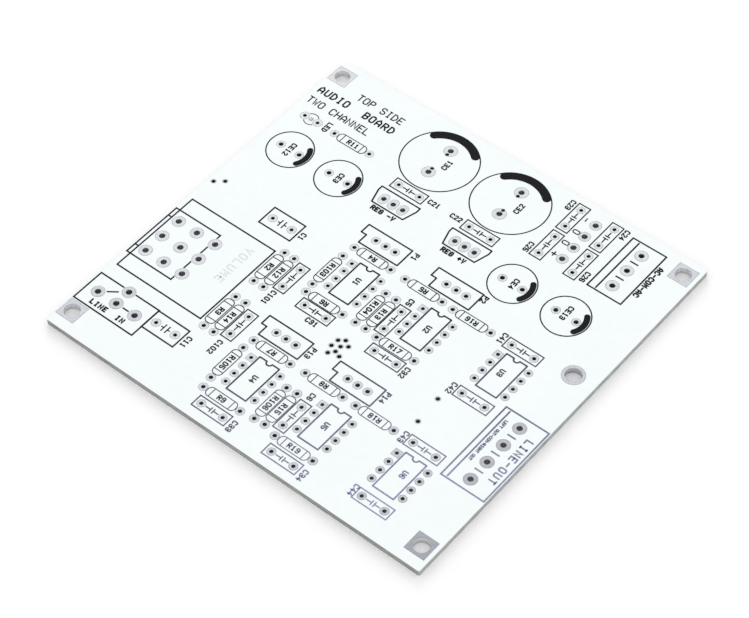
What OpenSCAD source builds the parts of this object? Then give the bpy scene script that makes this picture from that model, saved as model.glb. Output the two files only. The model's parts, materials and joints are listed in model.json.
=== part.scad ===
// Bare two-sided amplifier circuit board with plated holes, white solder mask and printed outlines.
// X runs along the front edge, Y to the back, Z up. The origin is under the middle of the board.

/* [Board] */
// Length of the board from the left edge to the right edge
board_w = 96.5; // [92:0.5:150]
// Depth of the board from the front edge to the back edge
board_d = 94; // [90:0.5:150]
// Thickness of the glass-fibre laminate
laminate_t = 1.5; // [0.8:0.1:3]
// Radius of the routed board corners
corner_r = 0.4; // [0.2:0.1:1.4]

/* [Coatings] */
// Thickness of the solder mask on each face
mask_t = 0.05; // [0.03:0.01:0.06]
// Bare ring between a pad and the mask around it
mask_gap = 0.1; // [0.05:0.05:0.2]
// Thickness of the printed ink
ink_t = 0.03; // [0.02:0.01:0.06]
// Width of a main printed line
line_w = 0.35; // [0.15:0.01:0.4]
// Width of a printed line on a capacitor
case_line_w = 0.27; // [0.15:0.01:0.33]
// Width of a printed line on a resistor or around the lamp
fine_line_w = 0.19; // [0.1:0.01:0.22]
// Distance kept between ink and a pad
ink_gap = 0.2; // [0.1:0.05:0.4]

/* [Plating] */
// Copper and tin of a pad above the laminate
pad_t = 0.07; // [0.06:0.01:0.12]
// Height of the tin crest around a hole
crest_h = 0.03; // [0.01:0.01:0.06]
// Plating on the wall of a hole
plating_t = 0.05; // [0.03:0.01:0.1]

/* [Fixing holes] */
// Diameter of the four corner holes
corner_hole_d = 3.5; // [2.5:0.1:4]
// Side of the square pad around a corner hole
corner_pad_w = 4.7; // [4.2:0.1:4.9]
// Gap between the left pads and the left board edge
left_gap = 0.25; // [0.05:0.05:5]
// Gap between the right pads and the right board edge
right_gap = 0.95; // [0.1:0.05:5]
// Gap between the front pads and the front board edge
front_gap = 2.5; // [0.1:0.05:2.6]
// Gap between the back pads and the back board edge
back_gap = 1.7; // [0.1:0.05:5]
// Diameter of the hole at the right edge
side_hole_d = 3.6; // [2.5:0.1:4]
// Diameter of the round pad at the right edge
side_pad_d = 4.8; // [4.5:0.1:6]
// Gap between that pad and the right board edge
side_gap = 2.85; // [0.2:0.05:5]

/* [Op-amp sites] */
// Pins in each of the two rows
dip_pins = 4; // [3:1:4]
// Distance between pins of a row
dip_pitch = 2.54; // [2.2:0.02:2.6]
// Distance between the two rows
dip_row_w = 7.62; // [7.4:0.02:7.8]
// Diameter of a pin hole
dip_hole_d = 0.8; // [0.6:0.05:1]
// Diameter of a pin pad
dip_pad_d = 1.7; // [1.4:0.05:1.8]
// Width of the printed body
dip_body_w = 5.1; // [4:0.1:5.3]
// Length of the printed body
dip_body_l = 10.1; // [8:0.1:10.4]
// Radius of the notch that marks pin one
dip_notch_r = 0.7; // [0.4:0.05:1]

/* [Trimmer sites] */
// Distance between pins
trimmer_pitch = 2.54; // [2.2:0.02:2.8]
// Diameter of a pin hole
trimmer_hole_d = 0.95; // [0.6:0.05:1]
// Diameter of a pin pad
trimmer_pad_d = 1.9; // [1.5:0.05:2]
// Length of the printed body without its screw head
trimmer_body_l = 10.25; // [9:0.05:10.4]
// Depth of the printed body
trimmer_body_d = 5.1; // [4:0.05:5.2]
// Length of the printed screw head
trimmer_screw_l = 1.35; // [0.8:0.05:1.5]

/* [Resistor sites] */
// Distance between the two holes
resistor_pitch = 9.65; // [9:0.05:9.8]
// Diameter of a lead hole
resistor_hole_d = 0.9; // [0.6:0.05:1]
// Diameter of a lead pad
resistor_pad_d = 1.9; // [1.5:0.05:2]
// Length of the printed body
resistor_body_l = 7.45; // [6:0.05:7.5]
// Width of the printed body
resistor_body_w = 2.3; // [1.8:0.05:2.35]
// Length of the printed middle between the end bands
resistor_band_l = 5.1; // [3:0.05:5.4]
// Radius of the printed end corners
resistor_end_r = 0.95; // [0.3:0.05:1]

/* [Small capacitor sites] */
// Distance between the two holes
cap_pitch = 5.59; // [5:0.01:5.8]
// Diameter of a lead hole
cap_hole_d = 0.85; // [0.6:0.05:1]
// Diameter of a lead pad
cap_pad_d = 1.8; // [1.4:0.05:1.9]
// Length of the printed body
cap_body_l = 8.4; // [8:0.05:8.6]
// Width of the printed body
cap_body_w = 2.85; // [2.5:0.05:2.9]

/* [Film capacitor sites] */
// Distance between the two holes
film_pitch = 5.15; // [4.5:0.05:5.8]
// Diameter of a lead hole
film_hole_d = 0.85; // [0.6:0.05:1]
// Diameter of a lead pad
film_pad_d = 2; // [1.5:0.05:2.2]
// Length of the printed body
film_body_l = 8.45; // [8:0.05:8.6]
// Width of the printed body
film_body_w = 5.15; // [4:0.05:5.5]

/* [Capacitor symbols] */
// Gap between the plates on a small capacitor
cap_plate_gap = 0.66; // [0.4:0.02:0.9]
// Length of a plate on a small capacitor
cap_plate_l = 1.3; // [0.8:0.05:1.6]
// Gap between the plates on a film capacitor
film_plate_gap = 0.95; // [0.4:0.05:1.2]
// Length of a plate on a film capacitor
film_plate_l = 2; // [1:0.05:2.6]

/* [Small electrolytic sites] */
// Distance between the two holes
small_can_pitch = 5.08; // [4:0.02:5.28]
// Diameter of a lead hole
small_can_hole_d = 1.05; // [0.6:0.05:1.1]
// Diameter of a lead pad
small_can_pad_d = 1.9; // [1.5:0.05:2]
// Diameter of the printed can
small_can_d = 10.4; // [10.2:0.1:10.8]
// Width of the printed polarity bar
small_can_bar_w = 1.3; // [0.6:0.05:1.3]
// Gap between the bar and the middle of the printed circle
small_can_bar_gap = 0.25; // [0:0.05:0.4]

/* [Large electrolytic sites] */
// Distance between the two main holes
large_can_pitch = 7.62; // [7.5:0.02:8]
// Diameter of a main hole
large_can_hole_d = 1.3; // [1:0.05:1.4]
// Diameter of a main pad
large_can_pad_d = 3; // [2.8:0.05:3.4]
// Distance between the two spare holes
spare_pitch = 5.08; // [5:0.02:5.2]
// Diameter of a spare hole
spare_hole_d = 0.85; // [0.5:0.05:0.9]
// Diameter of the printed can
large_can_d = 17.3; // [16:0.1:17.5]
// Width of the printed polarity bar
large_can_bar_w = 1.9; // [1:0.05:2]

/* [Regulator sites] */
// Distance between pins
regulator_pitch = 2.54; // [2.4:0.02:2.8]
// Diameter of a pin hole
regulator_hole_d = 1.15; // [0.9:0.05:1.2]
// Width of an oval pin pad
regulator_pad_w = 2.05; // [1.8:0.05:2.1]
// Length of an oval pin pad
regulator_pad_l = 2.9; // [2.2:0.05:3]
// Length of the printed back edge
regulator_back_l = 10.25; // [9.5:0.05:10.5]
// Length of the printed front edge
regulator_front_l = 8.3; // [8:0.05:9]
// Depth of the printed body
regulator_body_d = 4.65; // [4:0.05:4.7]
// Depth of the straight ends of the printed body
regulator_end_d = 1.2; // [0.6:0.05:2]
// Distance of the printed front edge from the pin row
regulator_front_d = 2.05; // [1.8:0.05:2.15]

/* [Wire and terminal sites] */
// Distance between supply wire pads
supply_pitch = 3.86; // [3.4:0.02:3.9]
// Diameter of a supply wire hole
supply_hole_d = 1.3; // [1:0.05:1.5]
// Diameter of a supply wire pad
supply_pad_d = 2.5; // [2:0.05:2.7]
// Distance between the pins of the alternating-current terminal
ac_pitch = 5.08; // [4.8:0.02:5.2]
// Width of its printed body
ac_body_w = 8.35; // [8:0.05:8.5]
// Length of its printed body
ac_body_l = 16.1; // [15:0.1:16.5]
// Distance of its printed wire-entry line from the left side
ac_entry_w = 1.8; // [1:0.05:2.2]
// Distance between the pins of the output terminal
out_pitch = 5.15; // [4.9:0.05:5.2]
// Width of its printed body
out_body_w = 10.4; // [9:0.1:11]
// Length of its printed body
out_body_l = 20.6; // [19.6:0.1:21]
// Distance of its printed wire-entry line from the left side
out_entry_w = 1.25; // [0.8:0.05:2]
// Gap between its printed body and the right board edge
out_edge_gap = 0.35; // [0.2:0.05:1]
// Gap between the ends of a wire-entry line and the printed body
entry_gap = 0.5; // [0.2:0.05:2]
// Diameter of a terminal pin hole
terminal_hole_d = 1.25; // [1:0.05:1.5]
// Diameter of a terminal pin pad
terminal_pad_d = 2.8; // [2.4:0.05:3]

/* [Signal input and volume sites] */
// Distance between signal input pins and between volume pins
signal_pitch = 5.08; // [4.6:0.02:5.2]
// Diameter of a signal or volume pin hole
signal_hole_d = 1.35; // [1:0.05:1.5]
// Diameter of a signal or volume pin pad
signal_pad_d = 2.85; // [2.6:0.05:3.1]
// Distance of the first pin column from the left board edge
signal_inset = 3.2; // [3:0.05:4]
// Distance of the ground pin behind the signal input row
ground_step = 3.8; // [3.6:0.05:4]
// Length of the printed input connector
input_body_l = 16.1; // [15.5:0.05:16.2]
// Depth of the printed input connector
input_body_d = 8.2; // [8:0.05:8.4]
// Width of the printed volume control
volume_body_w = 23; // [22:0.1:23.2]
// Depth of the printed volume control
volume_body_d = 23; // [20:0.1:23.2]
// Length of the printed volume bush from the left board edge
bush_l = 12.3; // [11.5:0.05:12.6]
// Depth of the printed volume bush
bush_d = 15.2; // [14.5:0.05:16]
// Gap between the printed bush or connector and the left board edge
left_print_gap = 0.1; // [0.05:0.05:0.3]
// Distance between the left sides of the printed bush and volume control
bush_face_l = 0.95; // [0.6:0.05:1.1]

/* [Lamp site] */
// Distance between the two holes
lamp_pitch = 3.57; // [3:0.01:3.8]
// Diameter of a lead hole
lamp_hole_d = 0.85; // [0.6:0.05:1]
// Diameter of a lead pad
lamp_pad_d = 2.1; // [1.5:0.05:2.2]
// Diameter of the printed lamp
lamp_d = 3.3; // [3.2:0.1:4]

/* [Vias] */
// Diameter of a via
via_d = 0.9; // [0.4:0.05:1]

/* [Hidden] */
$fn = 48;

// Overrun of every cut beyond the faces that it opens
overrun = 0.2;

// Levels from the resting face up
laminate_z = mask_t;
laminate_top_z = laminate_z + laminate_t;
board_top_z = laminate_top_z + mask_t;
pad_top_z = laminate_top_z + pad_t;
crest_z = pad_top_z + crest_h;

// Colours
laminate_colour = "#8d8c74";
mask_colour = "#f3f9f9";
tin_colour = "#c6c8cc";
ink_colour = "#20202a";

along_x = [1, 0];
along_y = [0, 1];

// Share of a pad ring taken by the flat tin crest, and by the crest with its slope
crest_share = 0.35;
slope_share = 0.6;

// Share of the free length between a plate and a pad that the printed lead takes
cap_lead_share = 0.85;
film_lead_share = 0.6;

// Share of the pin pitch taken by the printed dash between two terminal pins
dash_share = 0.4;

// Shares of the way between two signal input pins at which a printed dash starts and ends
ground_dash_shares = [0.3, 0.65];
signal_dash_shares = [0.38, 0.65];

// Directions from the middle of a can between which its polarity bar runs
small_can_bar = [-33, 36];
large_can_bar = [48, 137];

// Places of component sites from the board middle, as shares of its length and depth
op_amp_shares = [
    [-0.0595, -0.010], [0.1355, -0.012], [0.332, -0.010],
    [-0.0585, -0.344], [0.1345, -0.345], [0.3285, -0.344],
];
trimmer_shares = [[-0.074, 0.115], [0.119, 0.114], [-0.074, -0.219], [0.119, -0.219]];
flat_resistor_shares = [
    [-0.323, 0.306],
    [-0.074, 0.070], [0.066, 0.069], [0.196, 0.067], [-0.075, -0.0925], [0.119, -0.0945],
    [-0.074, -0.265], [0.065, -0.263], [0.199, -0.263], [-0.074, -0.425], [0.121, -0.427],
];
upright_resistor_shares = [
    [-0.2305, -0.089], [-0.2035, -0.089], [-0.128, -0.016], [0.0095, -0.040], [0.037, -0.040],
    [-0.231, -0.250], [-0.2035, -0.250], [-0.128, -0.345], [0.0105, -0.369], [0.037, -0.367],
];
flat_cap_shares = [
    [-0.1355, 0.275], [0.0595, 0.275],
    [-0.074, -0.123], [0.117, -0.1255], [0.3285, 0.069], [0.326, -0.0985],
    [-0.0695, -0.460], [0.1205, -0.462], [0.327, -0.262], [0.330, -0.431],
];
upright_cap_shares = [
    [0.190, 0.439], [0.191, 0.3405], [0.2785, 0.439], [0.280, 0.341],
    [-0.1725, -0.0835], [0.0665, -0.0372], [-0.1735, -0.253], [0.0665, -0.3665],
];
film_cap_shares = [[-0.288, 0.0225], [-0.287, -0.3595]];
small_can_shares = [[-0.418, 0.2045], [-0.2795, 0.205], [0.200, 0.2045], [0.3405, 0.2045]];
large_can_shares = [[-0.138, 0.388], [0.0585, 0.3875]];
regulator_shares = [[-0.137, 0.221], [0.058, 0.2225]];
lamp_shares = [[-0.442, 0.307]];
supply_shares = [[0.2405, 0.3905]];
ac_shares = [[0.367, 0.3895]];
via_shares = [
    [-0.487, 0.023], [-0.467, 0.0395], [0.268, -0.1415], [0.272, -0.213],
    [0.012, -0.152], [0.025, -0.1425], [0.040, -0.152], [0.027, -0.162],
    [0.010, -0.1715], [0.027, -0.179], [0.0165, -0.1915], [0.0415, -0.1845],
];

// Depths of the sites that are held to a side edge, as shares of the board depth
side_hole_share = 0.086;
out_share = -0.178;
volume_share = -0.1695;
input_share = -0.3745;

function place(shares) = [shares.x * board_w, shares.y * board_d];
function places(table) = [for (shares = table) place(shares)];
function row(middle, count, pitch, axis) =
    [for (i = [0 : count - 1]) middle + (i - (count - 1) / 2) * pitch * axis];
function rows(middles, count, pitch, axis) = [for (m = middles) each row(m, count, pitch, axis)];

// Middles of the sites
op_amps = places(op_amp_shares);
trimmers = places(trimmer_shares);
flat_resistors = places(flat_resistor_shares);
upright_resistors = places(upright_resistor_shares);
flat_caps = places(flat_cap_shares);
upright_caps = places(upright_cap_shares);
film_caps = places(film_cap_shares);
small_cans = places(small_can_shares);
large_cans = places(large_can_shares);
regulators = places(regulator_shares);
lamps = places(lamp_shares);
ac_middle = place(ac_shares[0]);
left_x = -board_w / 2;
right_x = board_w / 2;
out_middle = [right_x - out_edge_gap - out_body_w / 2, out_share * board_d];
signal_x = left_x + signal_inset + signal_pitch;
volume_middle = [signal_x, volume_share * board_d];
input_middle = [signal_x, input_share * board_d];

// Fixing holes
corner_xs = [left_x + left_gap + corner_pad_w / 2, right_x - right_gap - corner_pad_w / 2];
corner_ys = [front_gap + corner_pad_w / 2 - board_d / 2, board_d / 2 - back_gap - corner_pad_w / 2];
corners = [for (x = corner_xs, y = corner_ys) [x, y]];
side_hole = [right_x - side_gap - side_pad_d / 2, side_hole_share * board_d];

// Pins of the op-amp sites, with pin one at the back of the left row
left_rows = [for (m = op_amps) row(m - dip_row_w / 2 * along_x, dip_pins, dip_pitch, along_y)];
right_rows = [for (m = op_amps) row(m + dip_row_w / 2 * along_x, dip_pins, dip_pitch, along_y)];
first_pins = [for (r = left_rows) r[dip_pins - 1]];
other_pins = [
    for (r = left_rows) for (i = [0 : dip_pins - 2]) r[i],
    for (r = right_rows) each r,
];

// Drilled sites: places, hole diameter, pad width, pad length and whether the pad is square
first_pin_site = [first_pins, dip_hole_d, dip_pad_d, dip_pad_d, true];
other_pin_site = [other_pins, dip_hole_d, dip_pad_d, dip_pad_d, false];
trimmer_pins = rows(trimmers, 3, trimmer_pitch, along_x);
trimmer_site = [trimmer_pins, trimmer_hole_d, trimmer_pad_d, trimmer_pad_d, false];
resistor_pins = [
    each rows(flat_resistors, 2, resistor_pitch, along_x),
    each rows(upright_resistors, 2, resistor_pitch, along_y),
];
resistor_site = [resistor_pins, resistor_hole_d, resistor_pad_d, resistor_pad_d, false];
cap_pins = [
    each rows(flat_caps, 2, cap_pitch, along_x),
    each rows(upright_caps, 2, cap_pitch, along_y),
];
cap_site = [cap_pins, cap_hole_d, cap_pad_d, cap_pad_d, false];
film_site = [rows(film_caps, 2, film_pitch, along_x), film_hole_d, film_pad_d, film_pad_d, false];
small_can_pins = rows(small_cans, 2, small_can_pitch, along_x);
small_can_site = [small_can_pins, small_can_hole_d, small_can_pad_d, small_can_pad_d, false];
large_can_pins = rows(large_cans, 2, large_can_pitch, along_y);
large_can_site = [large_can_pins, large_can_hole_d, large_can_pad_d, large_can_pad_d, false];
spare_pins = rows(large_cans, 2, spare_pitch, along_y);
regulator_pins = rows(regulators, 3, regulator_pitch, along_x);
regulator_site = [regulator_pins, regulator_hole_d, regulator_pad_w, regulator_pad_l, false];
lamp_site = [rows(lamps, 2, lamp_pitch, along_x), lamp_hole_d, lamp_pad_d, lamp_pad_d, false];
supply_pins = rows(places(supply_shares), 4, supply_pitch, along_y);
supply_site = [supply_pins, supply_hole_d, supply_pad_d, supply_pad_d, false];
ac_pins = row(ac_middle, 3, ac_pitch, along_y);
ac_site = [ac_pins, terminal_hole_d, terminal_pad_d, terminal_pad_d, false];
out_pins = row(out_middle, 4, out_pitch, along_y);
out_site = [out_pins, terminal_hole_d, terminal_pad_d, terminal_pad_d, false];
input_pins = [each row(input_middle, 3, signal_pitch, along_x), input_middle + ground_step * along_y];
input_site = [input_pins, signal_hole_d, signal_pad_d, signal_pad_d, false];
volume_pins = rows(row(volume_middle, 3, signal_pitch, along_y), 3, signal_pitch, along_x);
volume_site = [volume_pins, signal_hole_d, signal_pad_d, signal_pad_d, false];
corner_site = [corners, corner_hole_d, corner_pad_w, corner_pad_w, true];
side_site = [[side_hole], side_hole_d, side_pad_d, side_pad_d, false];
sites = [
    first_pin_site, other_pin_site, trimmer_site, resistor_site, cap_site, film_site, small_can_site,
    large_can_site, regulator_site, lamp_site, supply_site, ac_site, out_site, input_site, volume_site,
    corner_site, side_site,
];

// Holes that only the plating lines, with the mask drawn up to them
bare_holes = [each [for (p = places(via_shares)) [p, via_d]], each [for (p = spare_pins) [p, spare_hole_d]]];

// Board and coatings

module rounded_plate(w, d, r) {
    square([w - 2 * r, d], center = true);
    square([w, d - 2 * r], center = true);
    for (x = [r - w / 2, w / 2 - r], y = [r - d / 2, d / 2 - r])
        translate([x, y])
            circle(r = r);
}

module pad_shape(w, l, is_square) {
    if (is_square)
        square([w, l], center = true);
    else
        circle(d = w);
    if (l > w) {
        square([w, l - w], center = true);
        for (y = [(w - l) / 2, (l - w) / 2])
            translate([0, y])
                circle(d = w);
    }
}

module laminate() {
    color(laminate_colour)
        translate([0, 0, laminate_z])
            linear_extrude(laminate_t)
                difference() {
                    rounded_plate(board_w, board_d, corner_r);
                    for (site = sites, p = site[0])
                        translate(p)
                            circle(d = site[1] + 2 * plating_t);
                    for (hole = bare_holes)
                        translate(hole[0])
                            circle(d = hole[1] + 2 * plating_t);
                }
}

module mask_film() {
    linear_extrude(mask_t)
        difference() {
            rounded_plate(board_w, board_d, corner_r);
            for (site = sites, p = site[0])
                translate(p)
                    pad_shape(site[2] + 2 * mask_gap, site[3] + 2 * mask_gap, site[4]);
            for (hole = bare_holes)
                translate(hole[0])
                    circle(d = hole[1] + 2 * plating_t);
        }
}

module top_solder_mask() {
    color(mask_colour)
        translate([0, 0, laminate_top_z])
            mask_film();
}

module bottom_solder_mask() {
    color(mask_colour)
        mask_film();
}

// Plated holes

// A round pad on both faces, the wall of its hole, and the tin crest on the upper face, in one turn
module round_plated_hole(hole_d, pad_d) {
    hole_r = hole_d / 2;
    wall_r = hole_r + plating_t;
    pad_r = pad_d / 2;
    ring = pad_r - hole_r;
    crest_r = hole_r + crest_share * ring;
    slope_r = hole_r + slope_share * ring;
    rotate_extrude()
        polygon([
            [hole_r, 0], [pad_r, 0], [pad_r, laminate_z], [wall_r, laminate_z],
            [wall_r, laminate_top_z], [pad_r, laminate_top_z], [pad_r, pad_top_z],
            [slope_r, pad_top_z], [crest_r, crest_z], [hole_r, crest_z],
        ]);
}

// A square or oval pad on both faces, the wall of its hole, and the round tin crest on the upper face
module shaped_plated_hole(hole_d, pad_w, pad_l, is_square) {
    ring = pad_w - hole_d;
    difference() {
        union() {
            linear_extrude(laminate_z)
                pad_shape(pad_w, pad_l, is_square);
            translate([0, 0, laminate_top_z])
                linear_extrude(pad_t)
                    pad_shape(pad_w, pad_l, is_square);
            translate([0, 0, pad_top_z])
                cylinder(d1 = hole_d + slope_share * ring, d2 = hole_d + crest_share * ring, h = crest_h);
            cylinder(d = hole_d + 2 * plating_t, h = laminate_top_z);
        }
        translate([0, 0, -overrun])
            cylinder(d = hole_d, h = crest_z + 2 * overrun);
    }
}

module plated_holes(site) {
    for (p = site[0])
        translate(p)
            if (site[4] || site[3] > site[2])
                shaped_plated_hole(site[1], site[2], site[3], site[4]);
            else
                round_plated_hole(site[1], site[2]);
}

module corner_mount_pads() {
    color(tin_colour)
        plated_holes(corner_site);
}

module edge_mount_pad() {
    color(tin_colour)
        plated_holes(side_site);
}

module vias() {
    color(tin_colour)
        for (p = places(via_shares))
            translate([p.x, p.y, 0])
                difference() {
                    cylinder(d = via_d + 2 * plating_t, h = board_top_z);
                    translate([0, 0, -overrun])
                        cylinder(d = via_d, h = board_top_z + 2 * overrun);
                }
}

module op_amp_pads() {
    color(tin_colour) {
        plated_holes(first_pin_site);
        plated_holes(other_pin_site);
    }
}

module trimmer_pads() {
    color(tin_colour)
        plated_holes(trimmer_site);
}

module resistor_pads() {
    color(tin_colour)
        plated_holes(resistor_site);
}

module capacitor_pads() {
    color(tin_colour)
        plated_holes(cap_site);
}

module film_capacitor_pads() {
    color(tin_colour)
        plated_holes(film_site);
}

module small_electrolytic_pads() {
    color(tin_colour)
        plated_holes(small_can_site);
}

// The spare holes stand in the rims of the main pads and are lined from face to face
module large_electrolytic_pads() {
    color(tin_colour)
        difference() {
            union() {
                plated_holes(large_can_site);
                for (p = spare_pins)
                    translate(p)
                        cylinder(d = spare_hole_d + 2 * plating_t, h = pad_top_z);
            }
            for (p = spare_pins)
                translate([p.x, p.y, -overrun])
                    cylinder(d = spare_hole_d, h = crest_z + 2 * overrun);
        }
}

module regulator_pads() {
    color(tin_colour)
        plated_holes(regulator_site);
}

module lamp_pads() {
    color(tin_colour)
        plated_holes(lamp_site);
}

module supply_pads() {
    color(tin_colour)
        plated_holes(supply_site);
}

module ac_terminal_pads() {
    color(tin_colour)
        plated_holes(ac_site);
}

module output_terminal_pads() {
    color(tin_colour)
        plated_holes(out_site);
}

module input_pads() {
    color(tin_colour)
        plated_holes(input_site);
}

module volume_pads() {
    color(tin_colour)
        plated_holes(volume_site);
}

// Printed lines

// A straight printed line with round ends
module line(from, to, w) {
    run = to - from;
    translate(from)
        rotate(atan2(run.y, run.x))
            translate([0, -w / 2])
                square([norm(run), w]);
    for (end = [from, to])
        translate(end)
            circle(d = w);
}

module lines(points, w) {
    for (i = [0 : len(points) - 2])
        line(points[i], points[i + 1], w);
}

// A printed rectangle, measured along the middle of its line
module frame(size, w) {
    difference() {
        square([size.x + w, size.y + w], center = true);
        square([size.x - w, size.y - w], center = true);
    }
}

module ring(d, w) {
    difference() {
        circle(d = d + w);
        circle(d = d - w);
    }
}

// Ink laid on the upper mask
module ink() {
    color(ink_colour)
        translate([0, 0, board_top_z])
            linear_extrude(ink_t)
                children();
}

// The area that ink keeps off around the pads of a site
module pad_reserve(site) {
    for (p = site[0])
        translate(p)
            circle(d = site[2] + 2 * ink_gap);
}

module op_amp_outlines() {
    x = dip_body_w / 2;
    y = dip_body_l / 2;
    ink()
        for (m = op_amps)
            translate(m) {
                lines([[-dip_notch_r, y], [-x, y], [-x, -y], [x, -y], [x, y], [dip_notch_r, y]], line_w);
                translate([0, y])
                    difference() {
                        ring(2 * dip_notch_r, line_w);
                        translate([-dip_body_w / 2, 0])
                            square([dip_body_w, dip_body_w]);
                    }
            }
}

// The screw head stands out at the left end, behind the pin row
module trimmer_outlines() {
    right = trimmer_body_l / 2;
    left = -right;
    screw = left - trimmer_screw_l;
    y = trimmer_body_d / 2;
    outline = [[screw, y], [right, y], [right, -y], [left, -y], [left, 0], [screw, 0], [screw, y]];
    ink()
        for (m = trimmers)
            translate(m)
                lines(outline, line_w);
}

module resistor_outline() {
    half = fine_line_w / 2;
    difference() {
        rounded_plate(resistor_body_l + 2 * half, resistor_body_w + 2 * half, resistor_end_r + half);
        rounded_plate(resistor_body_l - 2 * half, resistor_body_w - 2 * half, resistor_end_r - half);
    }
    for (x = [-resistor_band_l / 2, resistor_band_l / 2])
        translate([x, 0])
            square([fine_line_w, resistor_body_w], center = true);
}

module resistor_outlines() {
    ink() {
        for (m = flat_resistors)
            translate(m)
                resistor_outline();
        for (m = upright_resistors)
            translate(m)
                rotate(90)
                    resistor_outline();
    }
}

// Two plates and their leads in the room between two pads
module capacitor_symbol(room, plate_gap, plate_l, share) {
    lead_l = share * (room - plate_gap) / 2;
    for (side = [-1, 1])
        translate([side * plate_gap / 2, 0]) {
            square([case_line_w, plate_l], center = true);
            translate([side * lead_l / 2, 0])
                square([lead_l, case_line_w], center = true);
        }
}

module capacitor_outline() {
    frame([cap_body_l, cap_body_w], case_line_w);
    capacitor_symbol(cap_pitch - cap_pad_d, cap_plate_gap, cap_plate_l, cap_lead_share);
}

module capacitor_outlines() {
    ink() {
        for (m = flat_caps)
            translate(m)
                capacitor_outline();
        for (m = upright_caps)
            translate(m)
                rotate(90)
                    capacitor_outline();
    }
}

// A printed can with a thick, round-ended polarity bar inside its circle
module can_outline(can_d, bar_w, bar_gap, bar) {
    bar_r = (can_d - bar_w) / 2 - bar_gap;
    linear_extrude(ink_t)
        ring(can_d, case_line_w);
    rotate(bar[0])
        rotate_extrude(angle = bar[1] - bar[0])
            translate([bar_r - bar_w / 2, 0])
                square([bar_w, ink_t]);
    for (direction = bar)
        rotate(direction)
            translate([bar_r, 0])
                cylinder(d = bar_w, h = ink_t);
}

module small_electrolytic_outlines() {
    color(ink_colour)
        for (m = small_cans)
            translate([m.x, m.y, board_top_z])
                can_outline(small_can_d, small_can_bar_w, small_can_bar_gap, small_can_bar);
}

module large_electrolytic_outlines() {
    color(ink_colour)
        for (m = large_cans)
            translate([m.x, m.y, board_top_z])
                can_outline(large_can_d, large_can_bar_w, 0, large_can_bar);
}

module regulator_outlines() {
    back_x = regulator_back_l / 2;
    front_x = regulator_front_l / 2;
    back_y = regulator_body_d - regulator_front_d;
    knee_y = back_y - regulator_end_d;
    outline = [
        [-back_x, back_y], [back_x, back_y], [back_x, knee_y], [front_x, -regulator_front_d],
        [-front_x, -regulator_front_d], [-back_x, knee_y], [-back_x, back_y],
    ];
    ink()
        for (m = regulators)
            translate(m)
                lines(outline, line_w);
}

module lamp_outline() {
    ink()
        difference() {
            for (m = lamps)
                translate(m)
                    ring(lamp_d, fine_line_w);
            pad_reserve(lamp_site);
        }
}

// A terminal body with its wire-entry line and a dash between each pair of pins
module terminal_outline(middle, size, entry_w, pins, pitch) {
    entry_x = entry_w - size.x / 2;
    entry_y = size.y / 2 - entry_gap;
    dash_l = dash_share * pitch;
    translate(middle) {
        frame(size, line_w);
        line([entry_x, -entry_y], [entry_x, entry_y], line_w);
    }
    for (i = [0 : len(pins) - 2])
        translate((pins[i] + pins[i + 1]) / 2)
            square([dash_l, line_w], center = true);
}

module ac_terminal_outline() {
    ink()
        terminal_outline(ac_middle, [ac_body_w, ac_body_l], ac_entry_w, ac_pins, ac_pitch);
}

module output_terminal_outline() {
    ink()
        terminal_outline(out_middle, [out_body_w, out_body_l], out_entry_w, out_pins, out_pitch);
}

// A dash on the way from one pin to another, between two shares of that way
module dash(from, to, shares, w) {
    line(from + shares[0] * (to - from), from + shares[1] * (to - from), w);
}

// The signal connector reaches the left board edge, with its film capacitor at the right end
module input_outlines() {
    left = left_x + left_print_gap + line_w / 2;
    film_room = film_pitch - film_pad_d;
    ink()
        difference() {
            union() {
                translate([left + input_body_l / 2, input_middle.y])
                    frame([input_body_l, input_body_d], line_w);
                dash(input_pins[0], input_pins[3], ground_dash_shares, line_w);
                dash(input_pins[1], input_pins[2], signal_dash_shares, line_w);
                for (m = film_caps)
                    translate(m) {
                        frame([film_body_l, film_body_w], line_w);
                        capacitor_symbol(film_room, film_plate_gap, film_plate_l, film_lead_share);
                    }
            }
            pad_reserve(input_site);
        }
}

// The control body and its bush, which is broken by the third pin column and has a tick at each end row
module volume_outline() {
    left = left_x + left_print_gap + line_w / 2;
    body_left = left + bush_face_l;
    ink()
        difference() {
            union() {
                translate([body_left + volume_body_w / 2, volume_middle.y])
                    frame([volume_body_w, volume_body_d], line_w);
                translate([left + bush_l / 2, volume_middle.y])
                    frame([bush_l, bush_d], line_w);
                for (y = [-signal_pitch, signal_pitch])
                    line([left, volume_middle.y + y], [body_left, volume_middle.y + y], line_w);
            }
            pad_reserve(volume_site);
        }
}

laminate();
top_solder_mask();
bottom_solder_mask();
corner_mount_pads();
edge_mount_pad();
vias();
op_amp_pads();
trimmer_pads();
resistor_pads();
capacitor_pads();
film_capacitor_pads();
small_electrolytic_pads();
large_electrolytic_pads();
regulator_pads();
lamp_pads();
supply_pads();
ac_terminal_pads();
output_terminal_pads();
input_pads();
volume_pads();
op_amp_outlines();
trimmer_outlines();
resistor_outlines();
capacitor_outlines();
small_electrolytic_outlines();
large_electrolytic_outlines();
regulator_outlines();
lamp_outline();
ac_terminal_outline();
output_terminal_outline();
input_outlines();
volume_outline();
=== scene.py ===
import json
import math

import bpy
from mathutils import Matrix, Vector


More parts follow.
